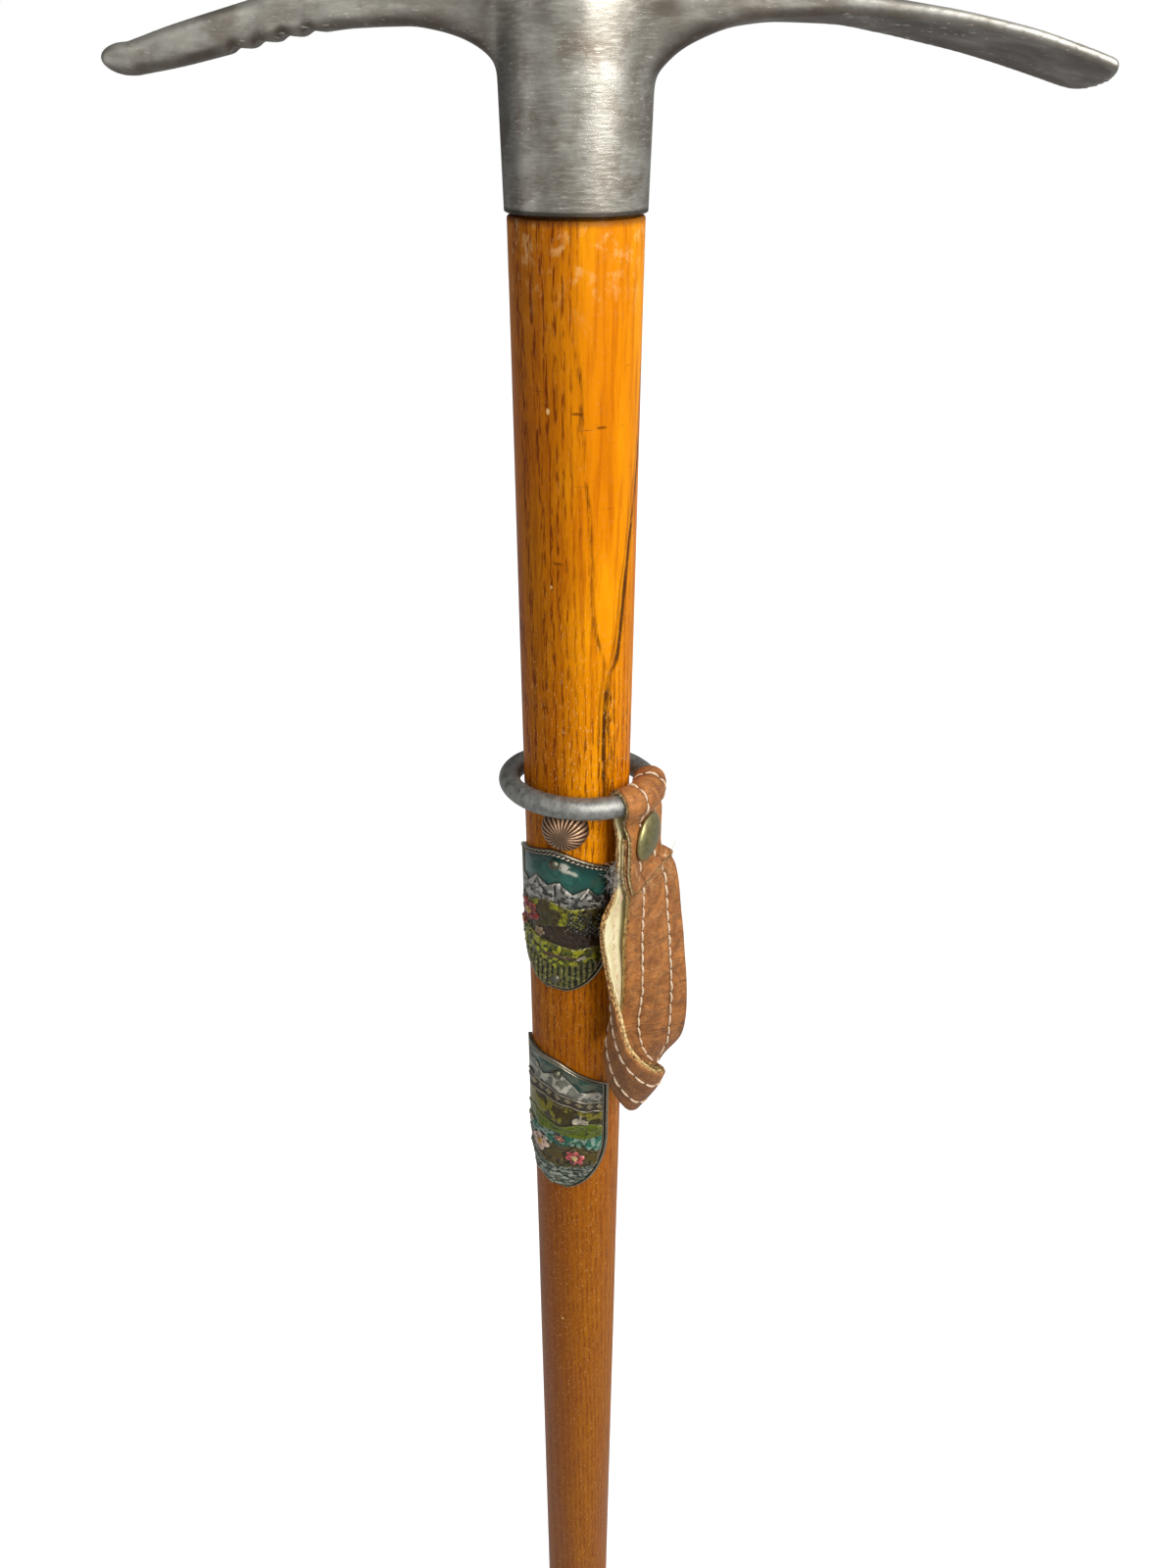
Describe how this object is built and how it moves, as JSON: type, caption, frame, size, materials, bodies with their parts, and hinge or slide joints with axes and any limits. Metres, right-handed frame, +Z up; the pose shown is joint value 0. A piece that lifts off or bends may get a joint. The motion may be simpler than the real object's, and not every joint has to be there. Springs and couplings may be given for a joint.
{
  "type": "hiking pick with wrist strap",
  "caption": "Alpine souvenir hiking pick: a cast pick-and-adze head on a tapering varnished ash shaft, stamped badges, and a stitched leather wrist strap snapped over a loose ring.",
  "frame": {"origin": "middle of the head, on the shaft's axis, where the hand rests on top", "axes": "+Z up the shaft, from spike to head; +X along the adze, so the pick points along -X; the front with the nail and the badges faces -Y, turned 5 degrees towards +X"},
  "size_m": [0.1907, 0.0494, 0.88],
  "materials": {
    "cast_aluminium": "worn satin cast",
    "varnished_ash": "glossy orange-brown varnish",
    "galvanised_ring": "pitted grey, soft sheen",
    "steel": "satin",
    "bronze": "dark bronzed, rubbed ridges",
    "enamelled_tin": "painted relief under clear lacquer, silver rim",
    "olive_brass": "olive antique brass",
    "tan_leather": "worn tan, stitched with off-white thread",
    "cream_leather": "matt cream lining"
  },
  "bodies": {
    "stick": {"head": "cast_aluminium", "head_pin": "steel", "shaft": "varnished_ash", "ferrule": "steel", "ferrule_pin": "steel", "spike": "steel", "stop_nail": "bronze", "badge_upper": "enamelled_tin", "badge_lower": "enamelled_tin", "badge_upper_nail_1": "olive_brass", "badge_upper_nail_2": "olive_brass", "badge_lower_nail_1": "olive_brass", "badge_lower_nail_2": "olive_brass"},
    "ring": {"ring": "galvanised_ring"},
    "strap_top": {"strap_fold": "tan_leather", "strap_tail": "tan_leather", "snap_cap": "olive_brass", "snap_disc": "olive_brass"},
    "wrist_loop": {"strap_outer": "tan_leather", "strap_lining": "cream_leather"}
  },
  "joints": [
    {"name": "ring_slide", "type": "slide", "parent": "stick", "child": "ring", "axis": [0, 0, 1], "range_m": [0, 0.126]},
    {"name": "strap_turn", "type": "hinge", "parent": "ring", "child": "strap_top", "pos_m": [0.00075, -0.00027, -0.1719], "axis": [0.032, 0.1283, 0.9912], "range_deg": [-20, 5]},
    {"name": "loop_swing", "type": "hinge", "parent": "strap_top", "child": "wrist_loop", "pos_m": [0.01898, -0.00691, -0.1919], "axis": [-0.342, -0.9397, 0], "range_deg": [0, 100]}
  ]
}
